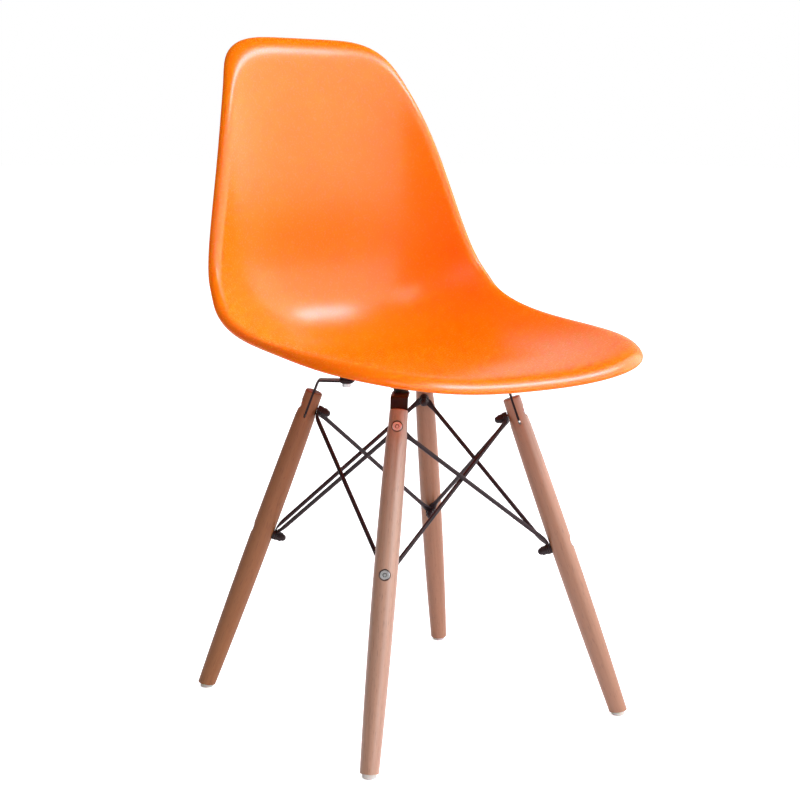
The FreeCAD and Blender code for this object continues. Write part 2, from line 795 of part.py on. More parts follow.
def screw_blank(name, head, head_height, shank, shank_length, socket, socket_depth, chamfer):
    """A socket screw whose head's outer face is at z = 0 and whose shank runs down from it."""
    body = new_body(name)
    profile = new_sketch(body, f"{name}_profile", "XZ_Plane")
    head, shank = term(head) / 2, term(shank) / 2
    bearing = -term(head_height)
    tip = bearing - shank_length
    closed_outline(profile, [
        (0.0, 0.0), (head - chamfer, 0.0), (head, -term(chamfer)), (head, bearing), (shank, bearing),
        (shank, tip + chamfer), (shank - chamfer, tip), (0.0, tip)])
    revolved(body, profile)
    hexagon = new_sketch(body, f"{name}_hexagon", "XY_Plane")
    closed_outline(hexagon, hex_corners(socket))
    recess = body.newObject("PartDesign::Pocket", f"{name}_socket")
    recess.Profile = hexagon
    bind(recess, "Length", socket_depth)
    before = body.Shape.Volume
    doc.recompute()
    assert recess.Shape.Volume < before, name
    return body


def make_mount_fasteners():
    washer = ring("mount_washer", cell("mount_washer_diameter"),
                  cell("mount_screw_diameter") + cell("bolt_hole_clearance"),
                  cell("mount_washer_thickness"))
    shank = (cell("mount_washer_thickness") + cell("strap_thickness") + cell("pad_thickness")
             + cell("insert_length") - cell("insert_spare"))
    screw = screw_blank("mount_screw", cell("mount_head_diameter"), cell("mount_head_height"),
                        cell("mount_screw_diameter"), shank, cell("mount_socket"),
                        cell("mount_socket_depth"), cell("mount_head_chamfer"))
    insert = ring("insert", cell("insert_diameter"),
                  cell("mount_screw_diameter") + cell("nut_bore_clearance"), cell("insert_length"))
    washer_bottom = arm_bottom() - size("mount_washer_thickness")
    upside_down = Rotation(Vector(1, 0, 0), 180)
    washers, screws, inserts = [], [], []
    for _, angle in LEGS:
        turn = base_turn(angle)
        washers.append(turn.multiply(Placement(mount_place(0, washer_bottom), Rotation())))
        head_face = washer_bottom - size("mount_head_height")
        screws.append(turn.multiply(Placement(mount_place(0, head_face), upside_down)))
        inserts.append(turn.multiply(Placement(mount_place(0, boss_foot()), Rotation())))
    keep_group("mount_washers", washer.Shape, washers)
    keep_group("mount_screws", screw.Shape, screws)
    keep_group("threaded_inserts", insert.Shape, inserts)


# Legs

def upper_bolt_height():
    return size("leg_length") - size("upper_bolt_drop")


def lower_bolt_height():
    return size("lower_bolt_height")


def leg_point(x, height):
    """A place in the plane of a leg's bolts, on the +X diagonal."""
    return LEG_FRAME.multVec(Vector(x, 0, height))


def foot_face():
    """The frame of a leg's end face: Z points out of the wood, towards the glide."""
    outward = Vector(-AXIS.x, -AXIS.y, 0).normalize()
    tilt = math.radians(size("foot_face_tilt"))
    normal = outward * math.sin(tilt) - Vector(0, 0, math.cos(tilt))
    sideways = normal.cross(Vector(0, 0, 1)).normalize()
    return frame(FOOT, sideways, normal)


def head_bearing(height):
    """How far from the leg's axis the flat under a bolt head lies."""
    return leg_radius(height) - size("head_recess") - size("bolt_head_height")


def leg_body(name):
    """The turned dowel, a little long at its foot."""
    length = cell("leg_length")
    foot = cell("leg_foot_diameter") / 2
    spare = -foot
    belly = cell("lower_bolt_height")
    body = new_body(f"dowel_{name}")
    sketch = new_sketch(body, f"dowel_{name}_profile", "XZ_Plane")
    closed_outline(sketch, [
        (0.0, spare), (foot, spare), (foot, 0.0),
        (cell("leg_belly_diameter") / 2, belly),
        (cell("leg_shoulder_diameter") / 2, length - cell("leg_shoulder_drop")),
        (cell("leg_neck_diameter") / 2, length - cell("leg_neck_drop")),
        (cell("leg_top_diameter") / 2, length),
        (0.0, length)], {2: belly, 3: belly})
    revolved(body, sketch)
    return body


def rounded_ends(name, item, radius):
    """Rounds the closed edges round the two ends of a leg."""
    rounding = doc.addObject("Part::Fillet", name)
    rounding.Base = item
    low = size("leg_foot_diameter") / 2
    ends = []
    for number, edge in enumerate(item.Shape.Edges, start=1):
        middle = edge.BoundBox.Center.z
        at_end = middle < low / 2 or middle > size("leg_length") - SAME_PLACE
        if edge.isClosed() and at_end:
            ends.append((number, radius, radius))
    rounding.Edges = ends
    doc.recompute()
    return rounding


def make_leg(name, angle):
    body = leg_body(name)
    widest = cell("leg_belly_diameter") * 2
    end_face = LEG_FRAME.inverse().multiply(foot_face())
    centred = Placement(Vector(-widest.value / 2, -widest.value / 2, 0), Rotation())
    trim = box(f"leg_{name}_trim", widest, widest, widest, end_face.multiply(centred))
    trimmed = cut(f"leg_{name}_trimmed", body, [trim])
    rounding = rounded_ends(f"leg_{name}_rounded", trimmed, size("leg_edge_rounding"))
    gap = cell("strap_thickness") + cell("slot_clearance")
    slot_floor = size("leg_length") - size("slot_depth")
    slot = box(f"leg_{name}_slot", gap, widest, cell("slot_depth") * 2,
               Placement(Vector(-gap.value / 2, -widest.value / 2, slot_floor), Rotation()))
    tools = [slot]
    sideways = Rotation(Vector(0, 1, 0), 90)
    hole = cell("bolt_diameter") + cell("bolt_hole_clearance")
    recess = cell("bolt_head_diameter") + cell("counterbore_clearance")
    for place, height in (("upper", upper_bolt_height()), ("lower", lower_bolt_height())):
        start = Vector(-widest.value / 2, 0, height)
        tools.append(cylinder(f"leg_{name}_{place}_hole", hole, widest, Placement(start, sideways)))
        seat = Vector(head_bearing(height), 0, height)
        tools.append(cylinder(f"leg_{name}_{place}_recess", recess, widest, Placement(seat, sideways)))
    spare = cell("nail_diameter")
    tools.append(cylinder(f"leg_{name}_nail_hole", spare, cell("nail_length") + spare,
                          Placement(Vector(0, 0, -spare.value), Rotation())))
    leg = cut(f"leg_{name}_cut", rounding, tools)
    keep(leg, f"leg_{name}", base_turn(angle).multiply(LEG_FRAME))


# Bolts, washers and cap nuts of the legs

def lug_seat(height):
    """How far from the leg's axis the first lug lies: clear of the leg all over the lug."""
    reach = size("lug_diameter") / 2
    widest = max(leg_radius(height - reach), leg_radius(height), leg_radius(height + reach))
    return widest + size("lug_gap")


def washer_seat(height):
    return lug_seat(height) + 2 * (size("lug_thickness") + size("lug_gap"))


def make_leg_fasteners():
    washer = ring("leg_washer", cell("washer_diameter"),
                  cell("bolt_diameter") + cell("bolt_hole_clearance"), cell("washer_thickness"))
    nut = cap_nut()
    outward = Rotation(Vector(0, 1, 0), 90)
    inward = Rotation(Vector(0, 1, 0), -90)
    for level, height in (("upper", upper_bolt_height()), ("lower", lower_bolt_height())):
        nut_seat = washer_seat(height) + size("washer_thickness")
        shank = head_bearing(height) + nut_seat + size("nut_hex_height")
        worked_out(f"{level}_bolt_length", shank, f"{level} leg bolt under its head")
        bolt = screw_blank(f"{level}_bolt", cell("bolt_head_diameter"), cell("bolt_head_height"),
                           cell("bolt_diameter"), cell(f"{level}_bolt_length"), cell("bolt_socket"),
                           cell("bolt_socket_depth"), cell("bolt_chamfer"))
        face = head_bearing(height) + size("bolt_head_height")
        bolts, washers, nuts = [], [], []
        for _, angle in LEGS:
            leg = base_turn(angle).multiply(LEG_FRAME)
            bolts.append(leg.multiply(Placement(Vector(face, 0, height), outward)))
            washers.append(leg.multiply(Placement(Vector(-washer_seat(height), 0, height), inward)))
            nuts.append(leg.multiply(Placement(Vector(-nut_seat, 0, height), inward)))
        keep_group(f"{level}_leg_bolts", bolt.Shape, bolts)
        keep_group(f"{level}_bolt_washers", washer.Shape, washers)
        keep_group(f"{level}_cap_nuts", nut.Shape, nuts)


def cap_nut():
    """A hexagon with a dome on it, bored from below. Its bearing face is at z = 0."""
    body = new_body("cap_nut")
    hexagon = new_sketch(body, "cap_nut_hexagon", "XY_Plane")
    closed_outline(hexagon, hex_corners(cell("nut_across_flats")))
    pad = body.newObject("PartDesign::Pad", "cap_nut_pad")
    pad.Profile = hexagon
    bind(pad, "Length", cell("nut_hex_height"))
    doc.recompute()
    dome = new_sketch(body, "cap_nut_dome", "XZ_Plane")
    radius = cell("nut_dome_diameter") / 2
    top = cell("nut_hex_height") + cell("nut_dome_height")
    closed_outline(dome, [(0.0, 0.0), (radius, 0.0), (radius, top - radius), (0.0, top)],
                   {2: top - radius})
    revolved(body, dome)
    bore = new_sketch(body, "cap_nut_bore", "XZ_Plane")
    bore_radius = (cell("bolt_diameter") + cell("nut_bore_clearance")) / 2
    depth = cell("nut_hex_height") + cell("nut_bore_clearance")
    closed_outline(bore, [(0.0, 0.0), (bore_radius, 0.0), (bore_radius, depth), (0.0, depth)])
    groove = body.newObject("PartDesign::Groove", "cap_nut_groove")
    groove.Profile = bore
    groove.ReferenceAxis = (bore, ["V_Axis"])
    groove.Angle = 360
    before = body.Shape.Volume
    doc.recompute()
    assert groove.Shape.Volume < before, "cap nut"
    return body


# Brace rods

BLEND_STEPS = 6
RING_PLACES = 12


def rod_end(centre, bolt, far, jog):
    """An eye square to its bolt, and the bend from which the rod runs on."""
    onward = far - centre
    onward = (onward - bolt * onward.dot(bolt)).normalize()
    return centre, bolt, onward, centre + onward * size("lug_neck") - bolt * jog


def oval(place, travel, bolt, width, thickness):
    """A ring round the rod: an oval whose long side lies square to the bolt."""
    side = bolt.cross(travel).normalize()
    rise = travel.cross(side)
    highest = math.atan2(rise.z, side.z)
    ring = []
    for step in range(RING_PLACES):
        turn = highest + 2 * math.pi * step / RING_PLACES
        out = side * (math.cos(turn) * width / 2)
        up = rise * (math.sin(turn) * thickness / 2)
        ring.append(place + out + up)
    return ring_wire(ring)


def flattened_end(end, heading, sense):
    """Rings from a rod's eye out to where it is fully round. sense is -1 at the rod's far end."""
    centre, bolt, onward, neck = end
    width, flat, thick = size("lug_neck_width"), size("lug_neck_thickness"), size("rod_diameter")
    start = centre + onward * size("lug_straight")
    finish = neck + heading * size("lug_blend")
    rings = [oval(centre, onward * sense, bolt, width, flat)]
    for step in range(BLEND_STEPS + 1):
        share = step / BLEND_STEPS
        ease = share * share * (3 - 2 * share)
        place = start * (1 - share) ** 2 + neck * (2 * share * (1 - share)) + finish * share ** 2
        travel = (onward * (1 - share) + heading * share).normalize() * sense
        wide = width + (thick - width) * ease
        high = flat + (thick - flat) * ease
        rings.append(oval(place, travel, bolt, wide, high))
    return rings


def rod_shape(first, second, jog):
    """One brace rod between two bolts, given as the places and directions of its eyes."""
    start = rod_end(first[0], first[1], second[0], jog)
    end = rod_end(second[0], second[1], first[0], jog)
    heading = (end[3] - start[3]).normalize()
    rings = flattened_end(start, heading, 1) + flattened_end(end, -heading, -1)[::-1]
    rod = Part.makeLoft(rings, True, True)
    flat = size("lug_thickness")
    hole = (size("bolt_diameter") + size("bolt_hole_clearance")) / 2
    eyes, holes = [], []
    for centre, bolt, _, _ in (start, end):
        eyes.append(Part.makeCylinder(size("lug_diameter") / 2, flat, centre - bolt * (flat / 2), bolt))
        holes.append(Part.makeCylinder(hole, flat * 2, centre - bolt * flat, bolt))
    return rod.fuse(eyes).cut(Part.makeCompound(holes)).Solids[0]


def lug_place(angle, height, layer):
    """Centre of a lug on the inner side of a leg, and the direction of its bolt."""
    depth = lug_seat(height) + (layer + 0.5) * size("lug_thickness") + layer * size("lug_gap")
    turn = Rotation(Vector(0, 0, 1), angle)
    return turn.multVec(leg_point(-depth, height)), turn.multVec(BOLT)


def rod_line(first, second, jog):
    """A place on a rod's straight stretch, and its direction."""
    start = rod_end(first[0], first[1], second[0], jog)[3]
    end = rod_end(second[0], second[1], first[0], jog)[3]
    return start, (end - start).normalize()


def crossing_distance(jog):
    """How far the inner rod passes behind the outer one, from middle line to middle line."""
    here, there = LEGS[0][1], LEGS[1][1]
    upper, lower = upper_bolt_height(), lower_bolt_height()
    outer, outer_run = rod_line(lug_place(here, upper, 0), lug_place(there, lower, 0), 0.0)
    inner, inner_run = rod_line(lug_place(there, upper, 1), lug_place(here, lower, 1), jog)
    inward = outer_run.cross(inner_run).normalize()
    if inward.dot(Vector(outer.x, outer.y, 0)) > 0:
        inward = -inward
    return (inner - outer).dot(inward)


def inner_rod_jog():
    """How far the inner rods step inward, so that they pass clear behind the outer ones."""
    wanted = size("rod_diameter") + size("rod_clearance")
    jog = 0.0
    for _ in range(CLOSING_STEPS):
        jog += wanted - crossing_distance(jog)
    return jog


def make_rods():
    """From each upper bolt one rod runs down to each neighbour's lower bolt."""
    count = len(LEGS)
    jog = inner_rod_jog()
    for index, (name, angle) in enumerate(LEGS):
        for layer, step in enumerate((1, -1)):
            far_name, far_angle = LEGS[(index + step) % count]
            shape = rod_shape(lug_place(angle, upper_bolt_height(), layer),
                              lug_place(far_angle, lower_bolt_height(), layer),
                              layer * jog)
            keep_shape(f"brace_rod_{name}_to_{far_name}", shape, base_turn(0))


# Glides

def make_glides():
    """A plastic foot under each leg, flat on the floor, with a nail up into the wood."""
    shank = cylinder("nail_shank", cell("nail_diameter"), cell("nail_length"))
    head_top = -cell("glide_height") / 2
    nail_foot = Placement(Vector(0, 0, head_top.value), Rotation())
    shank.Placement = nail_foot
    head = cylinder("nail_head", cell("nail_head_diameter"), cell("nail_head_height"))
    head.Placement = Placement(Vector(0, 0, head_top.value - size("nail_head_height")), Rotation())
    nail = fuse("nail", [shank, head])
    keep_group("glide_nails", nail.Shape,
               [base_turn(angle).multiply(LEG_FRAME) for _, angle in LEGS])
    widest = cell("glide_diameter") * 2
    face = foot_face()
    under = Placement(Vector(FOOT.x, FOOT.y, 0), Rotation()).inverse().multiply(face)
    for name, angle in LEGS:
        disc = cylinder(f"glide_{name}_disc", cell("glide_diameter"), cell("glide_height") * 2)
        rounding = doc.addObject("Part::Fillet", f"glide_{name}_rounded")
        rounding.Base = disc
        doc.recompute()
        radius = size("glide_rounding")
        rounding.Edges = [(number, radius, radius)
                          for number, edge in enumerate(disc.Shape.Edges, start=1)
                          if edge.isClosed() and edge.BoundBox.ZMax < radius]
        doc.recompute()
        corner = Placement(Vector(-widest.value / 2, -widest.value / 2, -widest.value), Rotation())
        above = box(f"glide_{name}_above", widest, widest, widest, under.multiply(corner))
        nail_copy = doc.addObject("Part::Feature", f"glide_{name}_nail")
        nail_copy.Shape = nail.Shape
        nail_copy.Placement = Placement(Vector(-FOOT.x, -FOOT.y, 0), Rotation()).multiply(LEG_FRAME)
        glide = cut(f"glide_{name}_cut", rounding, [above, nail_copy])
        stand = base_turn(angle).multiply(Placement(Vector(FOOT.x, FOOT.y, 0), Rotation()))
        keep(glide, f"glide_{name}", stand)


def build():
    make_shell()
    for name, angle in LEGS:
        make_leg(name, angle)
        make_bracket(name, angle)
        make_mount_pad(name, angle)
    make_mount_fasteners()
    make_leg_fasteners()
    make_rods()
    make_glides()


def check_document():
    """Stops before anything is written if an object failed or a sub-part is not sound."""
    for item in doc.Objects:
        if "Invalid" in item.State or "Error" in item.State:
            raise RuntimeError(f"{item.Label}: {item.State}")
    for item in PARTS:
        if item.Shape.isNull() or not item.Shape.isValid():
            raise RuntimeError(f"{item.Label} has no valid shape")


build()
doc.recompute()
check_document()
os.makedirs("parts", exist_ok=True)
for item in PARTS:
    item.Shape.exportStep(f"parts/{item.Label}.step")
    print(item.Label, len(item.Shape.Solids), round(item.Shape.Volume))
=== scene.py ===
import math

import bpy
import numpy as np
from mathutils import Matrix, Vector

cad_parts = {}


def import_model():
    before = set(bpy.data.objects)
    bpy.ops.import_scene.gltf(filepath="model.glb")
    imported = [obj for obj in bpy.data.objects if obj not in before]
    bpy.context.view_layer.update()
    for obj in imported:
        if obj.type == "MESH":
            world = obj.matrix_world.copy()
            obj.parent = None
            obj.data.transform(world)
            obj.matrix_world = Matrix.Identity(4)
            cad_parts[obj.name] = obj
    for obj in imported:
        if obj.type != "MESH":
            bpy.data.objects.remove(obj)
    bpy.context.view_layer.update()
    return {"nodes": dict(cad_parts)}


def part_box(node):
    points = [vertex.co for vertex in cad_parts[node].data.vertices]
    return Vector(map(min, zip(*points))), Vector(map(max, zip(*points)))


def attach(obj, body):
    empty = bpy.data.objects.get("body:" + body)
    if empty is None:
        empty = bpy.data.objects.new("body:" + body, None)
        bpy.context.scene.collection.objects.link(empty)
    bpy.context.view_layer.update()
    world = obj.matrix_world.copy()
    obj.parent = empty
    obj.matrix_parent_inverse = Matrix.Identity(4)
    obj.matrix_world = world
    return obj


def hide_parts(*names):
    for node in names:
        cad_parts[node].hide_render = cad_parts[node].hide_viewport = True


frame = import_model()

# Metres, in the same frame as the solids. The sitter faces -Y.

NODES = frame["nodes"]

# The base's axis stands this far in front of the frame's origin.
ORIGIN_SHIFT = 0.0132
LEG_ANGLES = {"front_right": 225.0, "front_left": 315.0, "back_left": 45.0, "back_right": 135.0}
# Each leg's share of painted light: legs in the light get paler wood and more gloss and coat, legs in
# shade darker, browner wood.
LEG_PAINTED_LIGHT = {"front_right": 0.85, "front_left": 0.5, "back_left": 0.35, "back_right": 0.08}

# A leg's ends, before it is turned to its corner. Its steel arm reaches out from the mount.
MOUNT_RADIUS = 0.0807
ARM_REACH = 0.0394
ARM_TURN = math.radians(6.5)
LEG_TOP_HEIGHT = 0.385
FOOT_RADIUS, FOOT_HEIGHT = 0.2592, 0.0054

# The shell's middle line, as in its solid: behind the base axis, height over the mount pads,
# half width and edge rise.
STATIONS = np.array((
    (-0.2092, 0.0307, 0.2012, 0.0239),
    (-0.1399, 0.0324, 0.2136, 0.0251),
    (-0.0472, 0.0238, 0.2173, 0.0374),
    (0.0556, 0.0179, 0.2084, 0.0548),
    (0.1425, 0.0258, 0.1961, 0.0784),
    (0.1905, 0.0775, 0.1904, 0.0764),
    (0.2015, 0.1804, 0.1721, 0.0495),
    (0.2112, 0.2906, 0.1471, 0.0309),
    (0.2320, 0.3892, 0.1303, 0.0128),
))
PAD_TOP = 0.405
WALL = 0.005
RISE_SPREAD = 0.080
DISH_CHANGE = 0.080
SEAT_DISH, BACK_DISH = 2.41, 2.69
FRONT_SQUARENESS, TOP_SQUARENESS = 5.71, 6.16
SQUARENESS_PACE = 6.0

# The rolled edge. Its radius grows towards the front and the top, at a place between -1 at the
# front and 1 at the top, and at a pace.
SIDE_ROLL, FRONT_ROLL, TOP_ROLL = 0.0100, 0.0246, 0.0371
FRONT_ROLL_PLACE, FRONT_ROLL_PACE = -0.75, 6.0
TOP_ROLL_PLACE, TOP_ROLL_PACE = 0.97, 14.0
ROLL_DRAFT = math.radians(27.6)
ROLL_LIP = 0.0004

# The shell's mesh: its sides, its rows from the middle to the tip of the edge, and the rounds
# in which its two seams are eased.
SHELL_SIDES = 288
INNER_ROWS, EDGE_ROWS, ROLL_ROWS, TIP_ROWS = 42, 12, 12, 6
EDGE_SHARE = 0.93
EDGE_EASING, TIP_EASING = 30, 8
ROWS_BEFORE_TIP, ROWS_INTO_TIP = 5, 4

# A boss: its foot with a rounded rim, the seat of its insert, and its flare into the shell, whose
# rings lie this far outside the foot and below the top.
BOSS_SIDES = 48
BOSS_RADIUS = 0.013
BOSS_ROUNDING = 0.0008
ROUNDING_STEPS = 4
INSERT_RADIUS, INSERT_DEPTH, INSERT_BEVEL = 0.0045, 0.011, 0.0003
BOSS_FLARE = ((0.0018, 0.0045), (0.0040, 0.0025), (0.0050, 0.0010))
BOSS_CAP = 0.001


# Shell

def natural_spline(knots, values):
    """Second derivatives of the cubic curves through the values, straight at their ends."""
    count = len(knots)
    gaps = np.diff(knots)
    matrix = np.eye(count)
    load = np.zeros_like(values)
    for i in range(1, count - 1):
        matrix[i, i - 1:i + 2] = gaps[i - 1], 2 * (gaps[i - 1] + gaps[i]), gaps[i]
        after = (values[i + 1] - values[i]) / gaps[i]
        before = (values[i] - values[i - 1]) / gaps[i - 1]
        load[i] = 6 * (after - before)
    return np.linalg.solve(matrix, load)


KNOTS = np.concatenate(([0.0], np.cumsum(np.hypot(*np.diff(STATIONS[:, :2], axis=0).T))))
BENDS = natural_spline(KNOTS, STATIONS)
LENGTH = KNOTS[-1]


def curves(place):
    """The four sizes of the middle line at a place along it, and their slopes."""
    i = np.clip(np.searchsorted(KNOTS, place) - 1, 0, len(KNOTS) - 2)
    gap = (KNOTS[i + 1] - KNOTS[i])[..., None]
    b = (place - KNOTS[i])[..., None] / gap
    a = 1 - b
    value = (a * STATIONS[i] + b * STATIONS[i + 1]
             + ((a ** 3 - a) * BENDS[i] + (b ** 3 - b) * BENDS[i + 1]) * gap * gap / 6)
    slope = ((STATIONS[i + 1] - STATIONS[i]) / gap
             + ((3 * b * b - 1) * BENDS[i + 1] - (3 * a * a - 1) * BENDS[i]) * gap / 6)
    return value, slope


def blend(value, centre, steepness):
    """A smooth change from 0 to 1 about a centre."""
    return (1 + np.tanh((value - centre) * steepness)) / 2


def unit(vectors):
    return vectors / np.linalg.norm(vectors, axis=-1, keepdims=True)


def rise_direction(place):
    """The direction in which the sides rise, which turns more slowly than the middle line."""
    steps = range(-2, 3)
    lean = 0.0
    for step in steps:
        slope = curves(np.clip(place + step * RISE_SPREAD / 2, 0, LENGTH))[1]
        lean = lean + np.arctan2(slope[..., 1], slope[..., 0]) / len(steps)
    return np.stack((np.zeros_like(lean), -np.sin(lean), np.cos(lean)), -1)


def shell_place(across, along):
    """The sitter's side of the shell, from -1 to 1 each way, and the way its sides rise there."""
    place = (along + 1) * LENGTH / 2
    value = curves(place)[0]
    upward = rise_direction(place)
    upright = blend(along, 0.0, LENGTH / (2 * DISH_CHANGE))
    power = SEAT_DISH * (1 - upright) + BACK_DISH * upright
    lift = value[..., 3] * np.abs(across) ** power
    middle = np.stack((value[..., 2] * across, value[..., 0], PAD_TOP + value[..., 1]), -1)
    return middle + upward * lift[..., None], upward


def shell_normal(across, along):
    step = 1e-4
    over = shell_place(across + step, along)[0] - shell_place(across - step, along)[0]
    up = shell_place(across, along + step)[0] - shell_place(across, along - step)[0]
    return unit(np.cross(over, up))


def outline(angle):
    """The shell's rim as a rounded square, flatter at the top than at the front."""
    c, s = np.cos(angle), np.sin(angle)
    top = blend(s, 0.0, SQUARENESS_PACE)
    power = FRONT_SQUARENESS * (1 - top) + TOP_SQUARENESS * top
    reach = (np.abs(c) ** power + np.abs(s) ** power) ** (-1 / power)
    return reach * c, reach * s


def outward_normal(angles, normal):
    """The way out of the shell across its rim."""
    step = 1e-3
    ahead = shell_place(*outline(angles + step))[0]
    behind = shell_place(*outline(angles - step))[0]
    return unit(np.cross(unit(ahead - behind), normal))


def roll_radius(along):
    front = 1 - blend(along, FRONT_ROLL_PLACE, FRONT_ROLL_PACE)
    top = blend(along, TOP_ROLL_PLACE, TOP_ROLL_PACE)
    return SIDE_ROLL + (FRONT_ROLL - SIDE_ROLL) * front + (TOP_ROLL - SIDE_ROLL) * top


def eased(rows, first, last, rounds):
    """The rows with those between first and last drawn towards their neighbours, round by round,
    so that the surface turns over the edge without a crease."""
    rows = np.array(rows)
    spots = np.arange(first, last)
    pull = 0.5 * np.sin(np.pi * (spots - first + 1) / (last - first + 1))[:, None, None]
    for _ in range(rounds):
        middle = (rows[spots - 1] + rows[spots + 1]) / 2
        rows[spots] = rows[spots] + pull * (middle - rows[spots])
    return list(rows)


def shell_rings():
    """Rings of places from the middle of the sitter's side, over the edge, to the middle below."""
    angles = (np.arange(SHELL_SIDES) + 0.5) * 2 * math.pi / SHELL_SIDES
    across, along = outline(angles)
    upper, lower = [], []
    inner = np.linspace(0, EDGE_SHARE, INNER_ROWS, endpoint=False)
    outer = np.linspace(EDGE_SHARE, 1, EDGE_ROWS, endpoint=False)
    for share in np.concatenate((inner, outer)):
        point = shell_place(across * share, along * share)[0]
        square = shell_normal(across * share, along * share)
        upper.append(point)
        lower.append(point - square * WALL)

    edge, upward = shell_place(across, along)
    normal = shell_normal(across, along)
    outward = outward_normal(angles, normal)
    radius = roll_radius(along)[:, None]
    down = np.arctan2((upward * normal).sum(-1), -(upward * outward).sum(-1))
    turn = (down - ROLL_DRAFT)[:, None]
    centre = edge - normal * radius
    over, under = [], []
    for row in range(ROLL_ROWS + 1):
        swing = turn * row / ROLL_ROWS
        spoke = normal * np.cos(swing) + outward * np.sin(swing)
        over.append(centre + spoke * radius)
        under.append(centre + spoke * (radius - WALL))

    onward = outward * np.cos(turn) - normal * np.sin(turn)
    middle = centre + spoke * (radius - WALL / 2) + onward * ROLL_LIP
    tip = []
    for row in range(TIP_ROWS + 1):
        swing = math.pi * row / TIP_ROWS
        tip.append(middle + (spoke * math.cos(swing) + onward * math.sin(swing)) * (WALL / 2))

    edge_row = len(upper)
    tip_row = edge_row + ROLL_ROWS
    skin = upper + over + tip
    skin = eased(skin, edge_row - EDGE_ROWS, edge_row + ROLL_ROWS * 3 // 4, EDGE_EASING)
    skin = eased(skin, tip_row - ROWS_BEFORE_TIP, tip_row + ROWS_INTO_TIP, TIP_EASING)
    return skin + under[::-1] + lower[::-1]


def underside(x, y):
    """Height of the shell's underside over a place of the base, closed in on step by step."""
    half_width = 0.2091
    seat_middle = -0.5
    rounds = 30
    across, along = np.zeros(()), np.full((), seat_middle)
    for _ in range(rounds):
        point = shell_place(across, along)[0] - shell_normal(across, along) * WALL
        across = across + (x - point[0]) / half_width
        along = along + (y - point[1]) / LENGTH
    return float(point[2])


def boss(angle):
    """Rings of one moulded boss, from its insert's seat round its foot and up into the shell."""
    x, y = MOUNT_RADIUS * math.cos(angle), MOUNT_RADIUS * math.sin(angle)
    top = underside(x, y) + WALL / 2
    profile = [(0.0, PAD_TOP + INSERT_DEPTH),
               (INSERT_RADIUS, PAD_TOP + INSERT_DEPTH),
               (INSERT_RADIUS, PAD_TOP + INSERT_BEVEL),
               (INSERT_RADIUS + INSERT_BEVEL, PAD_TOP)]
    for step in range(ROUNDING_STEPS + 1):
        swing = math.pi / 2 * step / ROUNDING_STEPS
        profile.append((BOSS_RADIUS - BOSS_ROUNDING * (1 - math.sin(swing)),
                        PAD_TOP + BOSS_ROUNDING * (1 - math.cos(swing))))
    profile += [(BOSS_RADIUS + out, top - below) for out, below in BOSS_FLARE]
    profile.append((0.0, top - BOSS_CAP))
    turns = np.arange(BOSS_SIDES) * 2 * math.pi / BOSS_SIDES
    rings = []
    for radius, height in profile:
        level = np.full(BOSS_SIDES, height)
        rings.append(np.stack((x + radius * np.cos(turns), y + radius * np.sin(turns), level), -1))
    return rings


def closed_rings(rings):
    """Vertices and faces of a closed skin whose first and last ring are a single point each."""
    count = len(rings[0])
    verts = [rings[0][0]] + [place for ring in rings[1:-1] for place in ring] + [rings[-1][0]]
    faces = []
    last = len(rings) - 2
    for j in range(count):
        after = (j + 1) % count
        faces.append((0, 1 + j, 1 + after))
        for row in range(last - 1):
            a = 1 + row * count
            faces.append((a + j, a + count + j, a + count + after, a + after))
        a = 1 + (last - 1) * count
        faces.append((a + after, a + j, len(verts) - 1))
    return np.array(verts), faces


def fitted(verts, box):
    """The skin at the width, depth and top of its solid, which its finer mesh misses by a hair."""
    low, high = (np.array(corner) for corner in box)
    low[2] = verts[:, 2].min()
    least, most = verts.min(0), verts.max(0)
    return low + (verts - least) * (high - low) / (most - least)


def new_object(name, verts, faces, material, smooth=True):
    mesh = bpy.data.meshes.new(name)
    mesh.from_pydata([tuple(v) for v in verts], [], faces)
    mesh.validate()
    mesh.polygons.foreach_set("use_smooth", [smooth] * len(mesh.polygons))
    mesh.update()
    mesh.materials.append(material)
    item = bpy.data.objects.new(name, mesh)
    bpy.context.scene.collection.objects.link(item)
    return item


# Materials

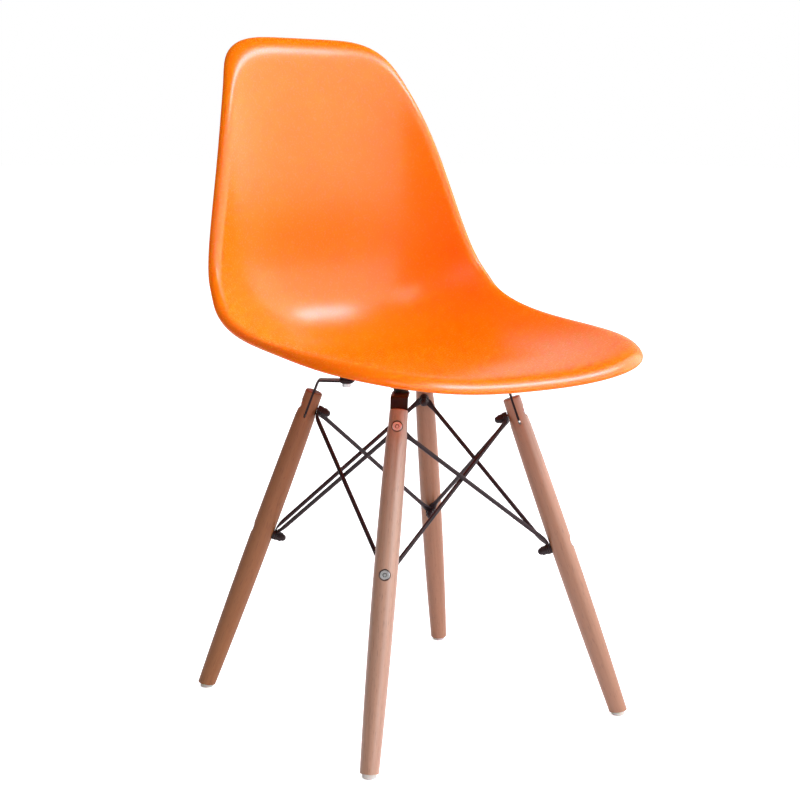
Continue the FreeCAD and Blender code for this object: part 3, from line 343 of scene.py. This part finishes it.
class Shader:
    """A material under construction: nodes are added and joined by short calls."""

    SOCKETS = {
        "color": "Base Color",
        "roughness": "Roughness",
        "metallic": "Metallic",
        "normal": "Normal",
        "specular": "Specular IOR Level",
        "coat": "Coat Weight",
        "coat_roughness": "Coat Roughness",
        "coat_ior": "Coat IOR",
        "subsurface": "Subsurface Weight",
        "subsurface_radius": "Subsurface Radius",
        "subsurface_scale": "Subsurface Scale",
    }

    def __init__(self, name):
        self.material = bpy.data.materials.new(name)
        self.material.use_nodes = True
        self.tree = self.material.node_tree
        self.principled = self.tree.nodes["Principled BSDF"]

    def node(self, kind, **settings):
        node = self.tree.nodes.new(kind)
        for key, value in settings.items():
            setattr(node, key, value)
        return node

    def set(self, node, socket, value):
        """Sets a socket to a value, or joins it to another node's output."""
        if isinstance(value, bpy.types.NodeSocket):
            self.tree.links.new(value, node.inputs[socket])
        else:
            node.inputs[socket].default_value = value

    def place(self, turn=None, scale=(1, 1, 1)):
        """The chair's coordinates, turned into a piece's own and then scaled."""
        out = self.node("ShaderNodeTexCoord").outputs["Object"]
        if turn is not None:
            mapping = self.node("ShaderNodeMapping", vector_type="POINT")
            self.set(mapping, "Vector", out)
            self.set(mapping, "Rotation", turn.to_euler("XYZ"))
            out = mapping.outputs["Vector"]
        mapping = self.node("ShaderNodeMapping", vector_type="POINT")
        self.set(mapping, "Vector", out)
        self.set(mapping, "Scale", scale)
        return mapping.outputs["Vector"]

    def noise(self, place, scale, detail=2.0, roughness=0.5, distortion=0.0):
        node = self.node("ShaderNodeTexNoise")
        self.set(node, "Vector", place)
        self.set(node, "Scale", scale)
        self.set(node, "Detail", detail)
        self.set(node, "Roughness", roughness)
        self.set(node, "Distortion", distortion)
        return node.outputs["Fac"]

    def span(self, value, low, high, start=0.0, end=1.0):
        """A value from start..end stretched to low..high, held at both ends."""
        node = self.node("ShaderNodeMapRange")
        self.set(node, "Value", value)
        self.set(node, "From Min", start)
        self.set(node, "From Max", end)
        self.set(node, "To Min", low)
        self.set(node, "To Max", high)
        return node.outputs["Result"]

    def mix(self, share, a, b):
        """A colour between a, at a share of 0, and b, at a share of 1."""
        node = self.node("ShaderNodeMix", data_type="RGBA")
        self.set(node, 0, share)
        self.set(node, 6, (*a, 1) if isinstance(a, tuple) else a)
        self.set(node, 7, (*b, 1) if isinstance(b, tuple) else b)
        return node.outputs[2]

    def unshaded_share(self, distance, start, end):
        """0 in corners, where painted shade goes, to 1 where nothing stands within the distance."""
        node = self.node("ShaderNodeAmbientOcclusion", samples=8)
        self.set(node, "Distance", distance)
        return self.span(node.outputs["AO"], 0.0, 1.0, start, end)

    def bump(self, height, strength, distance, normal=None):
        node = self.node("ShaderNodeBump")
        self.set(node, "Height", height)
        self.set(node, "Strength", strength)
        self.set(node, "Distance", distance)
        if normal is not None:
            self.set(node, "Normal", normal)
        return node.outputs["Normal"]

    def finish(self, **values):
        for key, value in values.items():
            if key == "color" and isinstance(value, tuple):
                value = (*value, 1)
            self.set(self.principled, self.SOCKETS[key], value)
        return self.material


def orange_plastic():
    """Moulded polypropylene with a fine grain, which lets some red light through."""
    s = Shader("orange_plastic")
    place = s.place()
    cloud = s.noise(place, scale=7.0, detail=3.0)
    grain = s.noise(place, scale=950.0, roughness=0.6)
    pores = s.noise(place, scale=420.0, detail=1.0)
    waves = s.noise(place, scale=26.0)
    clouds = s.span(cloud, 0.0, 1.0, start=0.3, end=0.7)
    normal = s.bump(grain, strength=0.12, distance=0.00010)
    return s.finish(
        color=s.mix(clouds, (1.0, 0.181, 0.0), (1.0, 0.198, 0.0)),
        roughness=s.span(pores, 0.235, 0.285, start=0.3, end=0.7),
        normal=s.bump(waves, strength=0.05, distance=0.0008, normal=normal),
        specular=0.33,
        subsurface=1.0,
        subsurface_radius=(1.0, 0.20, 0.02),
        subsurface_scale=0.018)


def between(a, b, share):
    return tuple(low * (1 - share) + high * share for low, high in zip(a, b))


def leg_axis(angle):
    """The direction of a leg, from its foot to its top."""
    top = Vector((MOUNT_RADIUS + ARM_REACH * math.cos(ARM_TURN),
                  ARM_REACH * math.sin(ARM_TURN),
                  LEG_TOP_HEIGHT))
    axis = (top - Vector((FOOT_RADIUS, 0, FOOT_HEIGHT))).normalized()
    return Matrix.Rotation(math.radians(angle), 3, "Z") @ axis


def beech(name, angle, seed, painted_light):
    """Turned beech: fine dark flecks and soft growth lines along the leg, and painted shade in its
    corners. Each leg is paler and glossier by its share of painted light, lit legs pale and shaded
    legs browner."""
    stretched_lines, stretched_flecks = 0.035, 0.11
    stock_spacing = (1.7, 0.9, 0.31)
    light_wood = between((0.400, 0.160, 0.060), (0.480, 0.260, 0.170), painted_light)
    deep_wood = between((0.330, 0.124, 0.044), (0.410, 0.208, 0.130), painted_light)
    line_color = (0.290, 0.120, 0.055)
    pore_color = (0.200, 0.082, 0.043)
    painted_shade_color = (0.100, 0.040, 0.020)

    s = Shader(name)
    turn = leg_axis(angle).rotation_difference(Vector((0, 0, 1))).to_matrix()
    along = s.place(turn, (1.0, 1.0, stretched_lines))
    flecks = s.place(turn, (1.0, 1.0, stretched_flecks))
    shifted = s.node("ShaderNodeVectorMath", operation="ADD")
    s.set(shifted, 0, along)
    s.set(shifted, 1, tuple(seed * spacing for spacing in stock_spacing))
    own = shifted.outputs[0]
    lines = s.noise(own, scale=150.0, detail=4.0, roughness=0.62, distortion=0.25)
    broad = s.noise(own, scale=34.0, distortion=0.6)
    pores = s.noise(flecks, scale=900.0, detail=1.0)

    tone = s.mix(s.span(broad, 0.0, 1.0, start=0.32, end=0.68), light_wood, deep_wood)
    tone = s.mix(s.span(lines, 0.0, 0.60, start=0.40, end=0.72), tone, line_color)
    tone = s.mix(s.span(pores, 0.0, 0.50, start=0.60, end=0.74), tone, pore_color)
    # Painted shade: the wood darkens towards a dark brown in corners, the slot and recesses, where
    # other parts stand close.
    tone = s.mix(s.unshaded_share(distance=0.002, start=0.5, end=0.9), painted_shade_color, tone)
    normal = s.bump(lines, strength=0.20, distance=0.0002)
    return s.finish(
        color=tone,
        roughness=s.span(lines, 0.38, 0.50, start=0.3, end=0.7),
        normal=s.bump(pores, strength=0.18, distance=0.0001, normal=normal),
        specular=0.3 + 0.6 * painted_light,
        coat=painted_light,
        coat_roughness=0.40,
        coat_ior=1.8)


def black_steel():
    """Black powder coating, a little glossier in patches."""
    s = Shader("black_coated_steel")
    place = s.place()
    fine = s.noise(place, scale=900.0)
    patches = s.noise(place, scale=60.0, detail=3.0)
    share = s.span(patches, 0.0, 1.0, start=0.35, end=0.7)
    return s.finish(
        color=s.mix(share, (0.018, 0.010, 0.013), (0.034, 0.020, 0.023)),
        roughness=s.span(patches, 0.36, 0.50, start=0.3, end=0.7),
        normal=s.bump(fine, strength=0.12, distance=0.00015),
        specular=0.30)


def bright_steel():
    """Plated steel, bright outside, with painted shade darkening the corners of its sockets."""
    s = Shader("bright_steel")
    place = s.place()
    marks = s.noise(place, scale=1600.0, detail=3.0, roughness=0.6)
    patches = s.noise(place, scale=90.0)
    share = s.span(patches, 0.0, 1.0, start=0.35, end=0.7)
    plating = s.mix(share, (0.95, 0.94, 0.94), (0.86, 0.85, 0.85))
    # Painted shade: the plating darkens to near black in the socket's corners.
    unshaded_share = s.unshaded_share(distance=0.0016, start=0.5, end=0.95)
    return s.finish(
        color=s.mix(unshaded_share, (0.10, 0.09, 0.085), plating),
        metallic=1.0,
        roughness=s.span(marks, 0.28, 0.38, start=0.3, end=0.7),
        normal=s.bump(marks, strength=0.05, distance=0.00003))


def brass():
    s = Shader("insert_brass")
    marks = s.noise(s.place(), scale=500.0, detail=3.0, roughness=0.6)
    return s.finish(
        color=s.mix(marks, (0.70, 0.48, 0.19), (0.56, 0.37, 0.14)),
        metallic=1.0,
        roughness=s.span(marks, 0.24, 0.4),
        normal=s.bump(marks, strength=0.1, distance=0.0001))


def black_rubber():
    s = Shader("black_rubber")
    fine = s.noise(s.place(), scale=1100.0)
    return s.finish(
        color=s.mix(fine, (0.016, 0.015, 0.015), (0.028, 0.026, 0.026)),
        roughness=s.span(fine, 0.55, 0.72),
        normal=s.bump(fine, strength=0.2, distance=0.0002))


def milky_plastic():
    s = Shader("milky_plastic")
    cloud = s.noise(s.place(), scale=260.0, detail=3.0)
    return s.finish(
        color=s.mix(cloud, (0.78, 0.76, 0.72), (0.70, 0.68, 0.64)),
        roughness=s.span(cloud, 0.30, 0.42),
        normal=s.bump(cloud, strength=0.08, distance=0.0002),
        subsurface=0.35,
        subsurface_scale=0.003)


# The chair

def paint(node, material):
    mesh = NODES[node].data
    if not mesh.materials:
        mesh.materials.append(material)
    for index in range(len(mesh.materials)):
        mesh.materials[index] = material


ORANGE = orange_plastic()
STEEL = black_steel()
BRIGHT = bright_steel()
RUBBER = black_rubber()
MILKY = milky_plastic()
BRASS = brass()

for seed, (name, angle) in enumerate(LEG_ANGLES.items(), start=1):
    paint(f"leg_{name}", beech(f"beech_{name}", angle, seed, LEG_PAINTED_LIGHT[name]))
    paint(f"leg_bracket_{name}", STEEL)
    paint(f"mount_pad_{name}", RUBBER)
    paint(f"glide_{name}", MILKY)
for node in NODES:
    if node.startswith("brace_rod") or "washers" in node or "cap_nuts" in node:
        paint(node, STEEL)
    elif node in ("mount_screws", "upper_leg_bolts", "lower_leg_bolts", "glide_nails"):
        paint(node, BRIGHT)
    elif node == "threaded_inserts":
        paint(node, BRASS)

verts, faces = closed_rings(shell_rings())
shell_pieces = [new_object("seat_shell_skin", fitted(verts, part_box("seat_shell")), faces, ORANGE)]
for name, angle in LEG_ANGLES.items():
    verts, faces = closed_rings(boss(math.radians(angle)))
    shell_pieces.append(new_object(f"mount_boss_{name}", verts - (0, ORIGIN_SHIFT, 0), faces, ORANGE))
for piece in shell_pieces:
    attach(piece, "root")
    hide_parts("seat_shell")


# Camera

def direction(azimuth, elevation):
    """A direction away from the chair. Azimuth 0 is in front of the sitter, 90 to +X."""
    a, e = math.radians(azimuth), math.radians(elevation)
    return Vector((math.sin(a) * math.cos(e), -math.cos(a) * math.cos(e), math.sin(e)))


def look(azimuth, elevation, roll, distance, across, rise, focal_pixels):
    """A camera that looks at the chair's middle, moved across and up in its own picture."""
    frame_pixels = 800
    sensor_width = 36
    middle = Vector((0, -ORIGIN_SHIFT, 0.4))
    a, r = math.radians(azimuth), math.radians(roll)
    back = direction(azimuth, elevation)
    right = Vector((math.cos(a), math.sin(a), 0))
    up = back.cross(right)
    x_axis = right * math.cos(r) + up * math.sin(r)
    y_axis = up * math.cos(r) - right * math.sin(r)
    place = Matrix((x_axis, y_axis, back)).transposed().to_4x4()
    place.translation = middle + right * across + up * rise + back * distance
    camera = bpy.data.objects.new("camera", bpy.data.cameras.new("camera"))
    camera.data.lens = focal_pixels / frame_pixels * sensor_width
    camera.data.sensor_width = sensor_width
    camera.data.clip_end = 100
    camera.matrix_world = place
    bpy.context.scene.collection.objects.link(camera)
    bpy.context.scene.camera = camera


look(azimuth=-35.39, elevation=9.04, roll=0.67, distance=2.0085,
     across=-0.01454, rise=-0.02201, focal_pixels=1663.8)


# Floor, world and lamps

SEAT_LEVEL = 0.5


def by_ray(tree, other, reflected, seen):
    """One strength for what the camera sees, one for what metal and glass show, one for light."""
    ray = tree.nodes.new("ShaderNodeLightPath")
    strength = other
    kinds = {"Is Transmission Ray": reflected, "Is Glossy Ray": reflected, "Is Camera Ray": seen}
    for kind, value in kinds.items():
        mix = tree.nodes.new("ShaderNodeMix")
        mix.data_type = "FLOAT"
        tree.links.new(ray.outputs[kind], mix.inputs[0])
        for socket, source in ((2, strength), (3, value)):
            if isinstance(source, float):
                mix.inputs[socket].default_value = source
            else:
                tree.links.new(source, mix.inputs[socket])
        strength = mix.outputs[0]
    return strength


def floor(seen, reflected):
    """A wide pale floor. What is seen of it is lifted to white, less its shadows."""
    size = 30.0
    s = Shader("floor")
    s.finish(color=(0.80, 0.80, 0.80), roughness=0.9, specular=0.0)
    glow = s.node("ShaderNodeEmission")
    s.set(glow, "Strength", by_ray(s.tree, 0.0, reflected, seen))
    both = s.node("ShaderNodeAddShader")
    s.set(both, 0, s.principled.outputs[0])
    s.set(both, 1, glow.outputs[0])
    s.set(s.tree.nodes["Material Output"], "Surface", both.outputs[0])
    corners = [(-size, -size, 0), (size, -size, 0), (size, size, 0), (-size, size, 0)]
    new_object("floor", corners, [(0, 1, 2, 3)], s.material, smooth=False)


def world(strength, pale, dark, flag_azimuth, flag_elevation):
    """Even light from all round before a white background. Reflections find it pale as well,
    save towards a dark flag, up and behind the camera, where the studio is open."""
    flag_start, flag_full = -0.6, 0.0
    scene = bpy.context.scene
    scene.world = bpy.data.worlds.new("studio")
    scene.world.use_nodes = True
    tree = scene.world.node_tree
    place = tree.nodes.new("ShaderNodeTexCoord").outputs["Generated"]
    toward = tree.nodes.new("ShaderNodeVectorMath")
    toward.operation = "DOT_PRODUCT"
    toward.inputs[1].default_value = direction(flag_azimuth, flag_elevation)
    tree.links.new(place, toward.inputs[0])
    reflected = tree.nodes.new("ShaderNodeMapRange")
    reflected.interpolation_type = "SMOOTHSTEP"
    reflected.inputs["From Min"].default_value = flag_start
    reflected.inputs["From Max"].default_value = flag_full
    reflected.inputs["To Min"].default_value = pale
    reflected.inputs["To Max"].default_value = dark
    tree.links.new(toward.outputs["Value"], reflected.inputs["Value"])
    background = tree.nodes["Background"]
    background.inputs["Color"].default_value = (1, 1, 1, 1)
    lit = by_ray(tree, strength, reflected.outputs[0], 1.0)
    tree.links.new(lit, background.inputs["Strength"])


def lamp(name, azimuth, distance, low, high, width, radiance, color=(1, 1, 1)):
    """An upright soft lamp that faces the chair: a glowing sheet between two elevations, as the
    chair's seat sees them, and of a width in degrees."""
    light = bpy.data.lights.new(name, "AREA")
    light.color = color
    light.shape = "RECTANGLE"
    bottom, top = (SEAT_LEVEL + distance * math.tan(math.radians(value)) for value in (low, high))
    light.size = 2 * distance * math.tan(math.radians(width / 2))
    light.size_y = top - bottom
    light.energy = radiance * math.pi * light.size * light.size_y
    item = bpy.data.objects.new(name, light)
    away = direction(azimuth, 0)
    item.location = away * distance + Vector((0, 0, (bottom + top) / 2))
    item.rotation_euler = away.to_track_quat("Z", "Y").to_euler()
    bpy.context.scene.collection.objects.link(item)


floor(seen=0.84, reflected=0.30)
world(strength=0.30, pale=0.65, dark=0.08, flag_azimuth=-40, flag_elevation=45)
lamp("window", azimuth=50, distance=3.0, low=3, high=56, width=110, radiance=2.8)
lamp("strip", azimuth=58, distance=2.8, low=41, high=49, width=26, radiance=30.0,
     color=(1.0, 0.74, 0.97))
lamp("end", azimuth=-12, distance=2.8, low=38, high=56, width=22, radiance=5.5)
lamp("fill", azimuth=-60, distance=3.0, low=18, high=44, width=26, radiance=1.4)

bpy.context.scene.view_settings.view_transform = "Standard"
